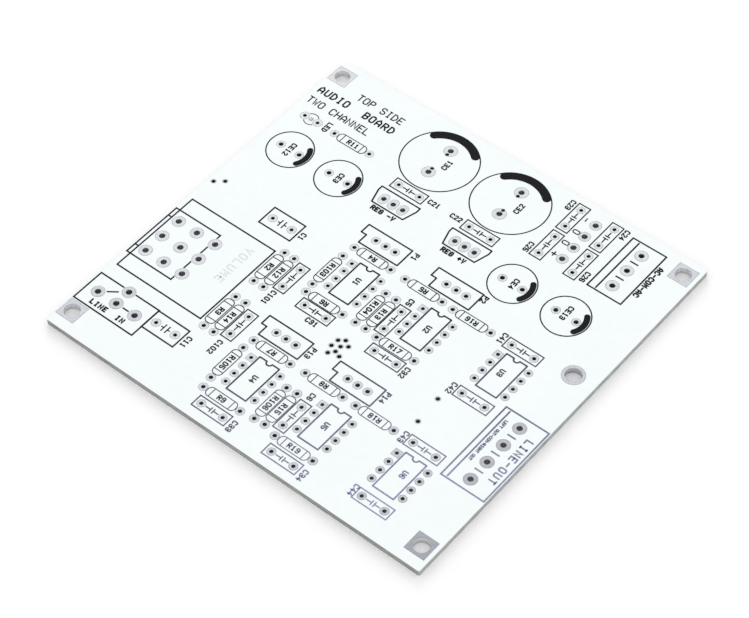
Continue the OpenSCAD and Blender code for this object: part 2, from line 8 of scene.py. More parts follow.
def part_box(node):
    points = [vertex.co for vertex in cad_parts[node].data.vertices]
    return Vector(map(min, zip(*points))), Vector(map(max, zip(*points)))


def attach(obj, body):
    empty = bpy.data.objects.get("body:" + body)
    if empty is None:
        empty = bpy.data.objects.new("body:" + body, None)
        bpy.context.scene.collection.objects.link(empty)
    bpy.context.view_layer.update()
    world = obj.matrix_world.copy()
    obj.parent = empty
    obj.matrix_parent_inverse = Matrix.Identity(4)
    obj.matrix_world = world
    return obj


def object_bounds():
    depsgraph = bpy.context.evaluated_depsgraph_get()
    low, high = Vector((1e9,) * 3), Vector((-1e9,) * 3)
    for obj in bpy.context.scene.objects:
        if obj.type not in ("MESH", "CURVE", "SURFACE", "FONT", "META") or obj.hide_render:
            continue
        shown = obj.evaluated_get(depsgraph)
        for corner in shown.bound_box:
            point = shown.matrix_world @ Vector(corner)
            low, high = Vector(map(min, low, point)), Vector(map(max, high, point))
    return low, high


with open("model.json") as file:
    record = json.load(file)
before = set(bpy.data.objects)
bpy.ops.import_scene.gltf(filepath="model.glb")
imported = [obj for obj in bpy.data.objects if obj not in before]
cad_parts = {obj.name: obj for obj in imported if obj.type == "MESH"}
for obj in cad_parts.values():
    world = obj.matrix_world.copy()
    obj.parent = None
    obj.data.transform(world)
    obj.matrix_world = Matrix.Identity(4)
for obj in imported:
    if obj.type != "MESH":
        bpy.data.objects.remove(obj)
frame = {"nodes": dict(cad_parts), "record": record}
CAD_LOW, CAD_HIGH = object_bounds()

# Measures of the board, from the frame, in metres
MM = 0.001
BOARD_LOW, BOARD_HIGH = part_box("laminate")
BOARD_SIZE = BOARD_HIGH - BOARD_LOW
BOARD_MIDDLE = (BOARD_LOW + BOARD_HIGH) / 2
FACE_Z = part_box("top_solder_mask")[1].z
CREST_Z = CAD_HIGH.z
FACE_SHARE = FACE_Z / CREST_Z
INK_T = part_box("volume_outline")[1].z - FACE_Z

# Directions on the board
TO_RIGHT = (1, 0, 0)
TO_TOP = (0, 0, 1)
TO_FRONT_CORNER = (1, -1, 0)

# Camera: angles in degrees, distance in board lengths, aim in shares of the board, lens and sensor in mm
CAMERA_AZIMUTH = 40.41
CAMERA_ELEVATION = 50.53
CAMERA_ROLL = -1.2
CAMERA_DISTANCE = 5.117
AIM_SHARES = (0.0176, -0.0372)
LENS = 117.6
SENSOR = 36

# Where the camera's view starts, in metres
CLIP_START = 10 * MM

# World: its colour, and its strength as light and where it is seen
WORLD_COLOUR = (1, 1, 1, 1)
AMBIENT = 0.96
BACKGROUND = 1.0

# Lamp: angles in degrees, distance and size in board lengths, power in watts
LAMP_AZIMUTH = 220
LAMP_ELEVATION = 25
LAMP_DISTANCE = 18
LAMP_SIZE = 8
LAMP_POWER = 7.2

# Floor: its colour, the lift that makes it white where it is lit, and its length in board lengths
FLOOR_COLOUR = (0.93, 0.93, 0.93, 1)
FLOOR_LIFT = 0.045
FLOOR_BOARDS = 40

# Solder mask: marks and depth in metres, with stops of tone and roughness along their noise
MASK_DRIFT = 22 * MM
MASK_DRIFT_TONES = [(0.38, (0.880, 0.935, 0.935)), (0.62, (0.895, 0.94, 0.945))]
MASK_MOTTLE = 1.8 * MM
MASK_MOTTLE_TONES = [(0.35, 0.985), (0.65, 1.0)]
MASK_GLOSS = 3 * MM
MASK_ROUGHNESS = [(0.3, 0.26), (0.7, 0.38)]
MASK_PEEL = 0.6 * MM
MASK_PEEL_DEPTH = 0.004 * MM

# Copper rings under the mask round the vias: width and rise in metres, and shades by shares of the width
VIA_RING_W = 0.3 * MM
VIA_RING_RISE = 0.01 * MM
VIA_SHADES = [(0.0, 0.45), (0.33, 0.66), (0.67, 0.83), (1.0, 0.93)]
VIA_STEPS = 32
VIA_PLACE_DIGITS = 5
SHADE = "shade"

# Ink: marks and depth in metres, with stops of speckle and roughness along their noise
INK_SPECKLE = 0.12 * MM
BLACK_SPECKLES = [(0.35, 0.75), (0.7, 1.6)]
PALE_SPECKLES = [(0.35, 0.95), (0.7, 1.05)]
INK_GLOSS = 0.3 * MM
INK_ROUGHNESS = [(0.3, 0.5), (0.7, 0.7)]
INK_SPECULAR = 0.09
INK_GRAIN = 0.1 * MM
INK_GRAIN_DEPTH = 0.004 * MM

# Tones of the inks by places from the middle of the board to the front corner: the black gets lighter and
# bluer towards the front corner as a painted glare
BLACK_GLARE_TONES = [
    (0.05, (0.009, 0.009, 0.012)), (0.3, (0.066, 0.066, 0.090)), (0.48, (0.146, 0.148, 0.215)),
    (0.7, (0.245, 0.250, 0.380)),
]
DARK_TONES = [(0.25, (0.009, 0.009, 0.012)), (0.5, (0.02, 0.02, 0.03))]
PALE_TONES = [(0.0, (0.72, 0.76, 0.75)), (1.0, (0.72, 0.76, 0.77))]

# Tin: marks, depth and rounding in metres, with stops of tone and roughness along their noise
TIN_STAIN = 0.5 * MM
TIN_STAIN_TONES = [(0.3, (0.83, 0.84, 0.87)), (0.7, (1.0, 1.0, 1.0))]
TIN_GLOSS = 0.25 * MM
TIN_ROUGHNESS = [(0.3, 0.28), (0.7, 0.5)]
TIN_DENT = 0.3 * MM
TIN_DENT_DEPTH = 0.012 * MM
TIN_ROUNDING = 0.2 * MM
ROUNDING_SAMPLES = 6

# Painted reflection on the lands of tin, which fades and cools towards the front corner: places from the back
# corner to the front one with shares, tints at the ends, sizes
REFLECTION_FADE_SHARES = [(0.0, 0.0), (0.4, 0.2), (0.55, 0.3), (0.7, 0.47), (0.83, 0.73), (0.95, 1.0)]
REFLECTION_TINT_BACK = (0.975, 0.99, 1.02)
REFLECTION_TINT_FRONT = (0.945, 0.975, 1.07)
LAND_REFLECTION_FADE = 0.34
MOUNT_REFLECTION_FADE = 0.45

# Lift of the painted shade on the walls of holes in the tin, lighter towards the front corner: places along
# the same way with shares, and its size
WALL_SHADE_LIFT_SHARES = [(0.5, 0.0), (0.67, 1 / 3), (0.85, 1.0)]
WALL_SHADE_LIFT = 0.36

# Heights at a tinned hole in shares of the crest's: where the lower land ends and the wall starts
LOW_LAND_SHARES = (0.04, 0.12)

# Drops from the face to where the wall ends and the upper land starts, in the same shares
LAND_DROP_SHARES = (0.25, 0.08)
# The second drop carries the wall's tone up to the lip, for a painted glint.
GLINT_DROP_SHARES = (0.035, 0.01)

# Painted shade deep in the holes, darker lower down: its tone, the height it reaches and the drop to the full
# tone at the rim, in the same shares
PAINTED_DEEP_SHADE = 0.72
DEEP_SHARE = 0.35
RIM_DROP_SHARE = 0.12

# Painted glint: places from the back corner to the front one where the wall's tone comes up to the lip, with
# shares
PAINTED_GLINT_SHARES = [(0.75, 0.0), (0.92, 1.0)]

# Glass fibre: marks and depths in metres, the stretch of its noise, and stops of tone
GLASS_LAYER = 2.4 * MM
GLASS_LAYER_STRETCH = (1, 1, 22)
GLASS_LAYER_TONES = [
    (0.30, (0.245, 0.252, 0.245)), (0.50, (0.400, 0.412, 0.407)), (0.68, (0.580, 0.593, 0.590)),
]
GLASS_END = 0.12 * MM
GLASS_END_TONES = [(0.35, 0.8), (0.65, 1.1)]
# Painted light: the left and right cut edges are paler than the front and back.
GLASS_SIDE_LIGHT_TONES = [(0.3, (0.755, 0.75, 0.725)), (0.7, (1.0, 1.0, 1.0))]
GLASS_FACE = 0.3 * MM
GLASS_FACE_TONES = [(0.3, (0.52, 0.53, 0.50)), (0.7, (0.62, 0.63, 0.60))]
GLASS_FACE_DEPTHS = (0.02 * MM, 0.01 * MM)
GLASS_ROUGHNESS = 0.75
GLASS_CUT = 0.5 * MM
GLASS_CUT_STRETCH = (1, 1, 12)
GLASS_CUT_DEPTH = 0.02 * MM

# Lettering: shares of the letter height
LETTER_W = 0.6
LETTER_STEP = 0.97
PEN = 0.29
BOLD_PEN = 0.35
TITLE_PEN = 0.165
HEADLINE_PEN = 0.22
FAINT_PEN = 0.18
SYMBOL_PEN = 0.05
MARK_PEN = 0.17
NAME_PEN = 0.23

# Steps round the end of a pen line, and the least cosine of half a bend for its mitre
CAP_STEPS = 4
MITRE_LIMIT = 0.5

# Letter heights, in metres
SMALL_H = 0.6 * MM
LABEL_H = 1.05 * MM
NAME_H = 1.5 * MM
LARGE_H = 1.75 * MM

# Reading directions, in degrees from along the front edge
LEVEL = 0
DOWN = -90
UP = 90
TURNED = 180


def place_on_board(shares):
    """A place in the plane of the board, from shares of the board's size that lead there from its middle."""
    return Vector((BOARD_MIDDLE.x + shares[0] * BOARD_SIZE.x, BOARD_MIDDLE.y + shares[1] * BOARD_SIZE.y))


# Nodes of a material

def new_material(name):
    """A material, its node tree and its main shader."""
    made = bpy.data.materials.new(name)
    made.use_nodes = True
    return made, made.node_tree, made.node_tree.nodes["Principled BSDF"]


def object_place(tree):
    """Where a point lies on the board, in metres."""
    return tree.nodes.new("ShaderNodeTexCoord").outputs["Object"]


def noise(tree, mark, detail=2.0, stretch=(1, 1, 1)):
    """Noise with marks of about that size in metres, finer along an axis that is stretched."""
    mapping = tree.nodes.new("ShaderNodeMapping")
    mapping.inputs["Scale"].default_value = stretch
    tree.links.new(object_place(tree), mapping.inputs["Vector"])
    texture = tree.nodes.new("ShaderNodeTexNoise")
    texture.inputs["Scale"].default_value = 1 / mark
    texture.inputs["Detail"].default_value = detail
    tree.links.new(mapping.outputs["Vector"], texture.inputs["Vector"])
    return texture.outputs["Fac"]


def ramp(tree, factor, stops):
    """Colours along a factor, from pairs of a position and a linear colour or grey."""
    node = tree.nodes.new("ShaderNodeValToRGB")
    elements = node.color_ramp.elements
    while len(elements) < len(stops):
        elements.new(stops[-1][0])
    for element, (position, colour) in zip(elements, stops):
        element.position = position
        element.color = (*colour, 1) if isinstance(colour, tuple) else (colour, colour, colour, 1)
    tree.links.new(factor, node.inputs["Fac"])
    return node.outputs["Color"]


def mixed(tree, factor, first, second, blend="MIX"):
    """Two colours blended by a factor, which is a number or a socket."""
    node = tree.nodes.new("ShaderNodeMix")
    node.data_type = "RGBA"
    node.blend_type = blend
    if isinstance(factor, float):
        node.inputs["Factor"].default_value = factor
    else:
        tree.links.new(factor, node.inputs["Factor"])
    tree.links.new(first, node.inputs["A"])
    tree.links.new(second, node.inputs["B"])
    return node.outputs["Result"]


def multiplied(tree, first, second):
    """Two colours multiplied in full."""
    return mixed(tree, 1.0, first, second, "MULTIPLY")


def bumped(tree, shader, height, depth, rounding=None):
    """Relief of that depth on a shader, over edges that may look rounded by a radius, in metres."""
    node = tree.nodes.new("ShaderNodeBump")
    node.inputs["Strength"].default_value = 1.0
    node.inputs["Distance"].default_value = depth
    tree.links.new(height, node.inputs["Height"])
    if rounding is not None:
        bevel = tree.nodes.new("ShaderNodeBevel")
        bevel.samples = ROUNDING_SAMPLES
        bevel.inputs["Radius"].default_value = rounding
        tree.links.new(bevel.outputs["Normal"], node.inputs["Normal"])
    tree.links.new(node.outputs["Normal"], shader.inputs["Normal"])


def dot_product(tree, vector, direction):
    """How far a vector reaches along a direction."""
    dot = tree.nodes.new("ShaderNodeVectorMath")
    dot.operation = "DOT_PRODUCT"
    dot.inputs[1].default_value = direction
    tree.links.new(vector, dot.inputs[0])
    return dot.outputs["Value"]


def along(tree, direction, start, end):
    """A factor that runs from 0 to 1 between two distances along a direction, in metres."""
    scale = tree.nodes.new("ShaderNodeMapRange")
    scale.inputs["From Min"].default_value = start
    scale.inputs["From Max"].default_value = end
    tree.links.new(dot_product(tree, object_place(tree), direction), scale.inputs["Value"])
    return scale.outputs["Result"]


def sideways(tree):
    """1 on the left and right sides of the board, and 0 on its front, its back and its two faces."""
    normal = tree.nodes.new("ShaderNodeTexCoord").outputs["Normal"]
    size = tree.nodes.new("ShaderNodeMath")
    size.operation = "ABSOLUTE"
    tree.links.new(dot_product(tree, normal, TO_RIGHT), size.inputs[0])
    return size.outputs["Value"]


# Materials of the board

def solder_mask(name, over_copper=False):
    """Glossy white lacquer with a faint drift of tone and a fine orange peel, shaded over copper."""
    made, tree, shader = new_material(name)
    drift = ramp(tree, noise(tree, MASK_DRIFT), MASK_DRIFT_TONES)
    mottle = ramp(tree, noise(tree, MASK_MOTTLE, detail=4), MASK_MOTTLE_TONES)
    tone = multiplied(tree, drift, mottle)
    if over_copper:
        shade = tree.nodes.new("ShaderNodeAttribute")
        shade.attribute_name = SHADE
        tone = multiplied(tree, tone, shade.outputs["Color"])
    tree.links.new(tone, shader.inputs["Base Color"])
    roughness = ramp(tree, noise(tree, MASK_GLOSS, detail=3), MASK_ROUGHNESS)
    tree.links.new(roughness, shader.inputs["Roughness"])
    bumped(tree, shader, noise(tree, MASK_PEEL, detail=3), MASK_PEEL_DEPTH)
    return made


def ink(name, tones, speckles):
    """Matt screen-printed ink with tones along the board, which carry a painted glare towards the front
    corner, and stops of speckle.
    """
    made, tree, shader = new_material(name)
    tone = ramp(tree, along(tree, TO_FRONT_CORNER, 0, BOARD_SIZE.x), tones)
    speckle = ramp(tree, noise(tree, INK_SPECKLE, detail=3), speckles)
    tree.links.new(multiplied(tree, tone, speckle), shader.inputs["Base Color"])
    roughness = ramp(tree, noise(tree, INK_GLOSS), INK_ROUGHNESS)
    tree.links.new(roughness, shader.inputs["Roughness"])
    shader.inputs["Specular IOR Level"].default_value = INK_SPECULAR
    bumped(tree, shader, noise(tree, INK_GRAIN, detail=3), INK_GRAIN_DEPTH)
    return made


def on_land(tree, height, drop_shares):
    """1 on the lands of a pad and 0 on the wall of its hole, which ends in these drops below the face."""
    low_end, wall_start = LOW_LAND_SHARES
    wall_end, land_start = [FACE_SHARE - drop for drop in drop_shares]
    return ramp(tree, height, [(low_end, 1.0), (wall_start, 0.0), (wall_end, 0.0), (land_start, 1.0)])


def land_reflection_tones(land, reflection_fade):
    """Stops of the tone of a land, with a painted reflection that fades and cools from the back corner to the
    front one.
    """
    stops = []
    for place, share in REFLECTION_FADE_SHARES:
        tone = land * (1 - reflection_fade * share)
        tint = [back + share * (front - back) for back, front in zip(REFLECTION_TINT_BACK, REFLECTION_TINT_FRONT)]
        stops.append((place, tuple(tone * channel for channel in tint)))
    return stops


def tin(name, land, wall, reflection_fade=LAND_REFLECTION_FADE, lift=WALL_SHADE_LIFT, painted_glint=False):
    """Levelled tin with painted light: a painted reflection on its land fades towards the front corner, the
    wall of its hole carries painted shade that is darker lower down and lighter towards that corner, and its
    lip may carry a painted glint.
    """
    made, tree, shader = new_material(name)
    height = along(tree, TO_TOP, 0, CREST_Z)
    corner = along(tree, TO_FRONT_CORNER, -BOARD_SIZE.x, BOARD_SIZE.x)
    land_part = on_land(tree, height, LAND_DROP_SHARES)
    # Painted glint: near the front corner the wall's tone reaches up to the lip.
    if painted_glint:
        glint_part = ramp(tree, corner, PAINTED_GLINT_SHARES)
        land_part = mixed(tree, glint_part, land_part, on_land(tree, height, GLINT_DROP_SHARES))
    # Painted reflection: the land darkens and cools towards the front corner.
    land_and_reflection_tone = ramp(tree, corner, land_reflection_tones(land, reflection_fade))
    # Painted shade on the walls of the holes, lighter towards the front corner and darker lower down.
    painted_wall_shade = ramp(tree, corner, [(place, wall + lift * share) for place, share in WALL_SHADE_LIFT_SHARES])
    painted_depth_shade = ramp(tree, height, [(DEEP_SHARE, PAINTED_DEEP_SHADE), (FACE_SHARE - RIM_DROP_SHARE, 1.0)])
    tone = mixed(tree, land_part, multiplied(tree, painted_wall_shade, painted_depth_shade), land_and_reflection_tone)
    stain = ramp(tree, noise(tree, TIN_STAIN, detail=4), TIN_STAIN_TONES)
    tree.links.new(multiplied(tree, tone, stain), shader.inputs["Base Color"])
    shader.inputs["Metallic"].default_value = 1.0
    roughness = ramp(tree, noise(tree, TIN_GLOSS, detail=3), TIN_ROUGHNESS)
    tree.links.new(roughness, shader.inputs["Roughness"])
    bumped(tree, shader, noise(tree, TIN_DENT, detail=3), TIN_DENT_DEPTH, TIN_ROUNDING)
    return made


def laminate():
    """Glass fibre: grey layers on the cut edges, with painted light that makes the left and right sides
    paler, and a pale face around the pads.
    """
    made, tree, shader = new_material("glass_fibre_laminate")
    layers = ramp(tree, noise(tree, GLASS_LAYER, detail=3, stretch=GLASS_LAYER_STRETCH), GLASS_LAYER_TONES)
    ends = ramp(tree, noise(tree, GLASS_END), GLASS_END_TONES)
    # Painted light on the left and right sides.
    side_light = ramp(tree, sideways(tree), GLASS_SIDE_LIGHT_TONES)
    edge = multiplied(tree, multiplied(tree, layers, ends), side_light)
    face = ramp(tree, noise(tree, GLASS_FACE), GLASS_FACE_TONES)
    face_start, face_end = [BOARD_HIGH.z - depth for depth in GLASS_FACE_DEPTHS]
    in_face = along(tree, TO_TOP, face_start, face_end)
    tree.links.new(mixed(tree, in_face, edge, face), shader.inputs["Base Color"])
    shader.inputs["Roughness"].default_value = GLASS_ROUGHNESS
    bumped(tree, shader, noise(tree, GLASS_CUT, detail=3, stretch=GLASS_CUT_STRETCH), GLASS_CUT_DEPTH)
    return made


MASK = solder_mask("white_solder_mask")
VIA_MASK = solder_mask("white_mask_over_copper", over_copper=True)
INK = ink("black_ink", BLACK_GLARE_TONES, BLACK_SPECKLES)
DARK_INK = ink("dark_black_ink", DARK_TONES, BLACK_SPECKLES)
PALE_INK = ink("pale_ink", PALE_TONES, PALE_SPECKLES)
# The wall tones are painted shade inside the holes.
LEAD_TIN = tin("tin_at_lead_holes", land=0.91, wall=0.11)
WIDE_TIN = tin("tin_at_wide_holes", land=0.88, wall=0.36)
OUTPUT_TIN = tin("tin_at_output_holes", land=0.76, wall=0.15)
INPUT_TIN = tin("tin_at_input_holes", land=0.80, wall=0.24)
CORNER_TIN = tin("tin_at_corner_holes", land=0.85, wall=0.96, reflection_fade=MOUNT_REFLECTION_FADE, lift=0, painted_glint=True)
EDGE_TIN = tin("tin_at_edge_hole", land=0.90, wall=0.72, reflection_fade=MOUNT_REFLECTION_FADE, lift=0)
LAMINATE = laminate()

# Finishes by slot, and by node where they differ from the slot's
FINISHES = {"solder_mask": MASK, "ink": INK, "tin": LEAD_TIN, "laminate": LAMINATE}
OTHER_FINISHES = {
    "small_electrolytic_outlines": DARK_INK,
    "corner_mount_pads": CORNER_TIN, "edge_mount_pad": EDGE_TIN,
    "output_terminal_pads": OUTPUT_TIN, "input_pads": INPUT_TIN,
    "supply_pads": WIDE_TIN, "volume_pads": WIDE_TIN,
    "large_electrolytic_pads": WIDE_TIN, "regulator_pads": WIDE_TIN,
}

for part in frame["record"]["subparts"]:
    finish = OTHER_FINISHES.get(part["node"], FINISHES[part["material_slot"]])
    cad_object = frame["nodes"][part["node"]]
    for material_slot in cad_object.material_slots:
        material_slot.material = finish


# Copper under the mask

def via_circles():
    """The middle and outer radius of each via, from the parts of the mesh that hang together."""
    mesh = frame["nodes"]["vias"].data
    linked = list(range(len(mesh.vertices)))

    def first(i):
        """The number that stands for all corners linked to this one."""
        while linked[i] != i:
            i = linked[i]
        return i

    for edge in mesh.edges:
        linked[first(edge.vertices[0])] = first(edge.vertices[1])
    islands = {}
    for vertex in mesh.vertices:
        islands.setdefault(first(vertex.index), []).append(vertex.co)
    radii = {}
    for corners in islands.values():
        xs, ys = [c.x for c in corners], [c.y for c in corners]
        middle = tuple(round((min(cs) + max(cs)) / 2, VIA_PLACE_DIGITS) for cs in (xs, ys))
        radii[middle] = max((max(xs) - min(xs)) / 2, radii.get(middle, 0))
    return sorted(radii.items())


def make_via_rings():
    """Low rings of mask that look grey towards the vias, where the copper shows through."""
    points, faces, shades = [], [], []
    last = len(VIA_SHADES) - 1
    for (x, y), radius in via_circles():
        start = len(points)
        for i, (share, shade) in enumerate(VIA_SHADES):
            reach = radius + share * VIA_RING_W
            z = FACE_Z + (VIA_RING_RISE if 0 < i < last else 0)
            for k in range(VIA_STEPS):
                turn = 2 * math.pi * k / VIA_STEPS
                points.append((x + reach * math.cos(turn), y + reach * math.sin(turn), z))
                shades.append(shade)
        for i, j in [(n, n + 1) for n in range(last)] + [(last, 0)]:
            for k in range(VIA_STEPS):
                m = (k + 1) % VIA_STEPS
                inner, outer = start + i * VIA_STEPS, start + j * VIA_STEPS
                faces.append((inner + k, outer + k, outer + m, inner + m))
    mesh = bpy.data.meshes.new("via_rings")
    mesh.from_pydata(points, [], faces)
    attribute = mesh.color_attributes.new(SHADE, "FLOAT_COLOR", "POINT")
    for item, shade in zip(attribute.data, shades):
        item.color = (shade, shade, shade, 1)
    mesh.materials.append(VIA_MASK)
    piece = bpy.data.objects.new("via_rings", mesh)
    bpy.context.scene.collection.objects.link(piece)
    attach(piece, "root")


make_via_rings()


# Printed labels

# Pen strokes of each letter on a grid with columns a to e and rows 1 to 7
LETTERS = {
    "0": "b1 a2 a6 b7 d7 e6 e2 d1 b1",
    "1": "b6 c7 c1 / b1 d1",
    "2": "a6 b7 d7 e6 e5 a1 e1",
    "3": "a6 b7 d7 e6 e5 d4 e3 e2 d1 b1 a2 / b4 d4",
    "4": "d1 d7 a3 e3",
    "5": "e7 a7 a4 d4 e3 e2 d1 b1 a2",
    "6": "e6 d7 b7 a6 a2 b1 d1 e2 e3 d4 a4",
    "7": "a7 e7 b1",
    "8": "b4 a5 a6 b7 d7 e6 e5 d4 b4 / b4 a3 a2 b1 d1 e2 e3 d4",
    "9": "e4 b4 a5 a6 b7 d7 e6 e2 d1 b1 a2",
    "A": "a1 a5 c7 e5 e1 / a3 e3",
    "B": "a4 a7 d7 e6 e5 d4 a4 / d4 e3 e2 d1 a1 a4",
    "C": "e6 d7 b7 a6 a2 b1 d1 e2",
    "D": "a1 a7 c7 e5 e3 c1 a1",
    "E": "e7 a7 a1 e1 / a4 d4",
    "F": "e7 a7 a1 / a4 d4",
    "G": "e6 d7 b7 a6 a2 b1 d1 e2 e4 c4",
    "H": "a1 a7 / e1 e7 / a4 e4",
    "I": "c1 c7 / b1 d1 / b7 d7",
    "L": "a7 a1 e1",
    "M": "a1 a7 c4 e7 e1",
    "N": "a1 a7 e1 e7",
    "O": "b1 a2 a6 b7 d7 e6 e2 d1 b1",
    "P": "a1 a7 d7 e6 e5 d4 a4",
    "R": "a1 a7 d7 e6 e5 d4 a4 / c4 e1",
    "S": "e6 d7 b7 a6 a5 b4 d4 e3 e2 d1 b1 a2",
    "T": "a7 e7 / c7 c1",
    "U": "a7 a2 b1 d1 e2 e7",
    "V": "a7 c1 e7",
    "W": "a7 b1 c5 d1 e7",
    "+": "a4 e4 / c2 c6",
    "-": "a4 e4",
    ">": "a4 b4 / b2 b6 d4 b2 / d2 d6 / d4 e4",
    " ": "",
}
GRID_W = 4
GRID_H = 6


def letter_strokes(letter):
    """The pen strokes of a letter, as points in shares of its height."""
    strokes = []
    for stroke in LETTERS[letter].split("/"):
        squares = stroke.split()
        points = [((ord(s[0]) - ord("a")) / GRID_W * LETTER_W, (int(s[1]) - 1) / GRID_H) for s in squares]
        if points:
            strokes.append(points)
    return strokes


def label_strokes(text, shares, height, turn, length=None):
    """The strokes of a label, set about a place that is given in shares of the board."""
    width = LETTER_W * height
    step = LETTER_STEP * height
    if length is not None:
        step = (length - width) / (len(text) - 1)
    total = step * (len(text) - 1) + width
    middle = place_on_board(shares)
    rotation = Matrix.Rotation(math.radians(turn), 2)
    strokes = []
    for i, letter in enumerate(text):
        for points in letter_strokes(letter):
            start = Vector((i * step - total / 2, -height / 2))
            strokes.append([middle + rotation @ (start + height * Vector(p)) for p in points])
    return strokes


def left_of(direction):
    """The direction a quarter turn to the left."""
    return Vector((-direction.y, direction.x))


def pen_sides(path, closed, width):
    """Points to the left and right of a path, mitred at its bends."""
    left, right = [], []
    for i, point in enumerate(path):
        directions = []
        if closed or i > 0:
            directions.append((point - path[i - 1]).normalized())
        if closed or i < len(path) - 1:
            directions.append((path[(i + 1) % len(path)] - point).normalized())
        heading = sum(directions, Vector((0, 0))).normalized()
        side = left_of(heading)
        reach = width / 2 / max(side.dot(left_of(directions[0])), MITRE_LIMIT)
        left.append(point + reach * side)
        right.append(point - reach * side)
    return left, right


def round_end(point, heading, width):
    """Points of a half circle round the end of a pen line, from its left to its right."""
    turns = [math.pi / 2 - math.pi * k / CAP_STEPS for k in range(1, CAP_STEPS)]
    return [point + width / 2 * (math.cos(a) * heading + math.sin(a) * left_of(heading)) for a in turns]


class InkMesh:
    """Flat prints of ink that grow stroke by stroke into one mesh."""

    def __init__(self):
        self.points = []
        self.faces = []

    def loop(self, outline):
        """The lower and upper corner numbers of an outline on the board face."""
        first = len(self.points)
        count = len(outline)
        self.points += [(p.x, p.y, FACE_Z) for p in outline]
        self.points += [(p.x, p.y, FACE_Z + INK_T) for p in outline]
        return list(range(first, first + count)), list(range(first + count, first + 2 * count))

    def wall(self, low, high):
        """Side faces round a loop whose inside is on its left."""
        for i in range(len(low)):
            j = (i + 1) % len(low)
            self.faces.append((low[i], low[j], high[j], high[i]))

    def ring(self, path, width):
        """A pen line that ends where it starts."""
        left, right = pen_sides(path, True, width)
        low_left, high_left = self.loop(left)
        low_right, high_right = self.loop(right)
        for i in range(len(path)):
            j = (i + 1) % len(path)
            self.faces.append((high_right[i], high_right[j], high_left[j], high_left[i]))
            self.faces.append((low_left[i], low_left[j], low_right[j], low_right[i]))
        self.wall(low_right, high_right)
        self.wall(low_left[::-1], high_left[::-1])

    def line(self, path, width):
        """A pen line with round ends."""
        left, right = pen_sides(path, False, width)
        end = round_end(path[-1], (path[-1] - path[-2]).normalized(), width)
        start = round_end(path[0], (path[0] - path[1]).normalized(), width)
        outline = left + end + right[::-1] + start
        low, high = self.loop(outline[::-1])
        self.faces.append(tuple(high))
        self.faces.append(tuple(low[::-1]))
        self.wall(low, high)

    def stroke(self, points, width):
        """A pen line, closed or open."""
        if points[0] == points[-1]:
            self.ring(points[:-1], width)
        else:
            self.line(points, width)


def print_labels(name, labels, pen=PEN, finish=INK):
    """One piece of ink with all labels of a kind: text, place in shares, height, direction and any length."""
    ink_mesh = InkMesh()
    for text, shares, height, *rest in labels:
        for points in label_strokes(text, shares, height, *rest):
            ink_mesh.stroke(points, pen * height)
    mesh = bpy.data.meshes.new(name)
    mesh.from_pydata(ink_mesh.points, [], ink_mesh.faces)
    mesh.materials.append(finish)
    piece = bpy.data.objects.new(name, mesh)
    bpy.context.scene.collection.objects.link(piece)
    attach(piece, "root")


print_labels("title_words", [
    ("TOP SIDE", (-0.339, 0.430), LARGE_H, LEVEL, 12.2 * MM),
    ("TWO CHANNEL", (-0.402, 0.355), LARGE_H, LEVEL, 16.8 * MM),
], TITLE_PEN)
print_labels("title_headline", [
    ("AUDIO", (-0.446, 0.394), LARGE_H, LEVEL, 8.0 * MM),
    ("BOARD", (-0.316, 0.394), LARGE_H, LEVEL, 8.0 * MM),
], HEADLINE_PEN)
print_labels("resistor_labels", [
    ("R11", (-0.320, 0.306), LABEL_H, LEVEL),
    ("R4", (-0.074, 0.070), LABEL_H, TURNED), ("R5", (0.066, 0.069), LABEL_H, TURNED),
    ("R16", (0.196, 0.067), LABEL_H, TURNED), ("R6", (-0.075, -0.0925), LABEL_H, TURNED),
    ("R17", (0.119, -0.0945), LABEL_H, LEVEL),
    ("R7", (-0.074, -0.265), LABEL_H, TURNED), ("R8", (0.065, -0.263), LABEL_H, TURNED),
    ("R18", (0.199, -0.263), LABEL_H, TURNED), ("R9", (-0.074, -0.425), LABEL_H, LEVEL),
    ("R19", (0.121, -0.427), LABEL_H, LEVEL),
    ("R2", (-0.2305, -0.089), LABEL_H, DOWN), ("R12", (-0.2035, -0.089), LABEL_H, DOWN),
    ("R103", (-0.128, -0.016), LABEL_H, DOWN), ("R104", (0.0095, -0.040), LABEL_H, DOWN),
    ("R13", (0.037, -0.040), LABEL_H, DOWN),
    ("R3", (-0.231, -0.250), LABEL_H, DOWN), ("R14", (-0.2035, -0.250), LABEL_H, DOWN),
    ("R105", (-0.128, -0.345), LABEL_H, DOWN), ("R106", (0.0105, -0.369), LABEL_H, DOWN),
    ("R15", (0.037, -0.367), LABEL_H, DOWN),
])
print_labels("capacitor_labels", [
    ("C21", (-0.069, 0.279), LABEL_H, LEVEL), ("C22", (-0.007, 0.278), LABEL_H, LEVEL),
    ("C23", (0.163, 0.467), LABEL_H, DOWN), ("C24", (0.305, 0.469), LABEL_H, DOWN),
    ("C25", (0.164, 0.311), LABEL_H, DOWN), ("C26", (0.308, 0.318), LABEL_H, DOWN),
    ("C31", (-0.062, -0.150), LABEL_H, LEVEL), ("C32", (0.173, -0.132), LABEL_H, DOWN),
    ("C33", (-0.012, -0.465), LABEL_H, DOWN), ("C34", (0.178, -0.468), LABEL_H, DOWN),
    ("C5", (0.065, 0.024), LABEL_H, DOWN), ("C6", (0.065, -0.304), LABEL_H, DOWN),
    ("C101", (-0.176, -0.155), LABEL_H, DOWN), ("C102", (-0.175, -0.330), LABEL_H, DOWN),
    ("C41", (0.274, 0.071), LABEL_H, DOWN), ("C42", (0.272, -0.101), LABEL_H, DOWN),
    ("C43", (0.274, -0.263), LABEL_H, DOWN), ("C44", (0.279, -0.430), LABEL_H, DOWN),
    ("C1", (-0.231, 0.022), LABEL_H, DOWN), ("C11", (-0.230, -0.359), LABEL_H, DOWN),
])
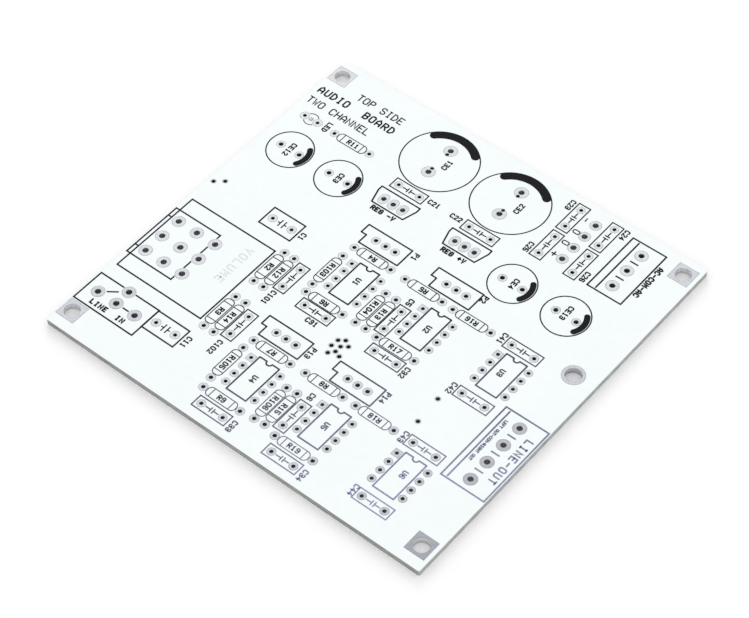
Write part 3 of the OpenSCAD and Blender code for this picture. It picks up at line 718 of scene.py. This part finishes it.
print_labels("can_labels", [
    ("CE12", (-0.419, 0.204), LABEL_H, DOWN), ("CE3", (-0.279, 0.206), LABEL_H, DOWN),
    ("CE4", (0.203, 0.206), LABEL_H, DOWN), ("CE13", (0.337, 0.212), LABEL_H, DOWN),
    ("CE1", (-0.118, 0.389), LABEL_H, UP), ("CE2", (0.083, 0.386), LABEL_H, UP),
], PEN, DARK_INK)
print_labels("op_amp_labels", [
    ("U1", (-0.059, -0.002), LABEL_H, DOWN), ("U2", (0.138, -0.010), LABEL_H, DOWN),
    ("U3", (0.327, -0.005), LABEL_H, DOWN), ("U4", (-0.057, -0.344), LABEL_H, DOWN),
    ("U5", (0.135, -0.343), LABEL_H, DOWN), ("U6", (0.333, -0.337), LABEL_H, DOWN),
])
print_labels("trimmer_labels", [
    ("P1", (-0.006, 0.132), LABEL_H, DOWN), ("P2", (0.181, 0.131), LABEL_H, DOWN),
    ("P13", (-0.010, -0.216), LABEL_H, DOWN), ("P14", (0.183, -0.209), LABEL_H, DOWN),
])
print_labels("regulator_labels", [
    ("REG -V", (-0.139, 0.187), LABEL_H, LEVEL, 5.9 * MM),
    ("REG +V", (0.054, 0.188), LABEL_H, LEVEL, 5.9 * MM),
], BOLD_PEN)
print_labels("volume_name", [
    ("VOLUME", (-0.292, -0.133), LARGE_H, DOWN, 10.4 * MM),
], FAINT_PEN, PALE_INK)
print_labels("lamp_label", [("LED", (-0.398, 0.310), LABEL_H, DOWN)])
print_labels("lamp_symbol", [(">", (-0.442, 0.307), LARGE_H, LEVEL)], SYMBOL_PEN)
print_labels("supply_marks", [
    ("-", (0.215, 0.453), NAME_H, UP), ("0", (0.219, 0.411), NAME_H, DOWN),
    ("0", (0.219, 0.371), NAME_H, DOWN), ("+", (0.218, 0.330), LARGE_H, LEVEL),
], MARK_PEN)
print_labels("terminal_labels", [
    ("AC-COM-AC", (0.421, 0.391), LABEL_H, DOWN, 9.2 * MM),
    ("LINE  IN", (-0.415, -0.402), LABEL_H, LEVEL, 8.8 * MM),
], BOLD_PEN)
print_labels("channel_names", [
    ("LEFT OUT-COM-RIGHT OUT", (0.411, -0.160), SMALL_H, DOWN, 11.7 * MM),
], BOLD_PEN)
print_labels("output_name", [
    ("LINE-OUT", (0.479, -0.176), NAME_H, DOWN, 12.4 * MM),
], NAME_PEN)


# Stage, light and camera

def seen_rays(tree):
    """1 for rays that show a surface, straight or by way of gloss or glass, and 0 for rays of light."""
    path = tree.nodes.new("ShaderNodeLightPath")
    total = path.outputs["Is Camera Ray"]
    for kind in ("Is Glossy Ray", "Is Transmission Ray"):
        either = tree.nodes.new("ShaderNodeMath")
        either.operation = "MAXIMUM"
        tree.links.new(total, either.inputs[0])
        tree.links.new(path.outputs[kind], either.inputs[1])
        total = either.outputs["Value"]
    return total


def make_floor():
    """A pale floor under the board, lifted to white where it is seen outside the shadow."""
    reach = FLOOR_BOARDS * BOARD_SIZE.x / 2
    signs = [(-1, -1), (1, -1), (1, 1), (-1, 1)]
    corners = [(x * reach, y * reach, CAD_LOW.z) for x, y in signs]
    mesh = bpy.data.meshes.new("floor")
    mesh.from_pydata(corners, [], [(0, 1, 2, 3)])
    made = bpy.data.materials.new("pale_floor")
    made.use_nodes = True
    tree = made.node_tree
    tree.nodes.remove(tree.nodes["Principled BSDF"])
    diffuse = tree.nodes.new("ShaderNodeBsdfDiffuse")
    diffuse.inputs["Color"].default_value = FLOOR_COLOUR
    lift = tree.nodes.new("ShaderNodeEmission")
    strength = tree.nodes.new("ShaderNodeMath")
    strength.operation = "MULTIPLY"
    strength.inputs[1].default_value = FLOOR_LIFT
    tree.links.new(seen_rays(tree), strength.inputs[0])
    tree.links.new(strength.outputs["Value"], lift.inputs["Strength"])
    both = tree.nodes.new("ShaderNodeAddShader")
    tree.links.new(diffuse.outputs["BSDF"], both.inputs[0])
    tree.links.new(lift.outputs["Emission"], both.inputs[1])
    tree.links.new(both.outputs["Shader"], tree.nodes["Material Output"].inputs["Surface"])
    mesh.materials.append(made)
    floor = bpy.data.objects.new("floor", mesh)
    bpy.context.scene.collection.objects.link(floor)


def make_world():
    """A plain pale surround that is white where it is seen."""
    world = bpy.data.worlds.new("studio")
    world.use_nodes = True
    tree = world.node_tree
    background = tree.nodes["Background"]
    background.inputs["Color"].default_value = WORLD_COLOUR
    strength = tree.nodes.new("ShaderNodeMapRange")
    strength.inputs["To Min"].default_value = AMBIENT
    strength.inputs["To Max"].default_value = BACKGROUND
    tree.links.new(seen_rays(tree), strength.inputs["Value"])
    tree.links.new(strength.outputs["Result"], background.inputs["Strength"])
    bpy.context.scene.world = world


def outward(azimuth, elevation):
    """The direction from the board at these angles in degrees, with the azimuth counted from the front."""
    a, e = math.radians(azimuth), math.radians(elevation)
    return Vector((math.sin(a) * math.cos(e), -math.cos(a) * math.cos(e), math.sin(e)))


def make_lamp():
    """A soft square lamp behind the board that faces it and leaves no glint."""
    lamp = bpy.data.lights.new("back_lamp", "AREA")
    lamp.shape = "SQUARE"
    lamp.size = LAMP_SIZE * BOARD_SIZE.x
    lamp.energy = LAMP_POWER
    holder = bpy.data.objects.new("back_lamp", lamp)
    direction = outward(LAMP_AZIMUTH, LAMP_ELEVATION)
    holder.location = BOARD_MIDDLE + LAMP_DISTANCE * BOARD_SIZE.x * direction
    holder.rotation_euler = (-direction).to_track_quat("-Z", "Y").to_euler()
    holder.visible_glossy = False
    bpy.context.scene.collection.objects.link(holder)


def make_camera():
    """The camera at the photograph's angle."""
    camera = bpy.data.cameras.new("camera")
    camera.lens = LENS
    camera.sensor_width = SENSOR
    camera.clip_start = CLIP_START
    aim = Vector((*place_on_board(AIM_SHARES), FACE_Z))
    back = outward(CAMERA_AZIMUTH, CAMERA_ELEVATION)
    turn = (-back).to_track_quat("-Z", "Y").to_matrix() @ Matrix.Rotation(math.radians(CAMERA_ROLL), 3, "Z")
    holder = bpy.data.objects.new("camera", camera)
    holder.matrix_world = Matrix.Translation(aim + CAMERA_DISTANCE * BOARD_SIZE.x * back) @ turn.to_4x4()
    bpy.context.scene.collection.objects.link(holder)
    bpy.context.scene.camera = holder


make_floor()
make_world()
make_lamp()
make_camera()
bpy.context.scene.view_settings.view_transform = "Standard"
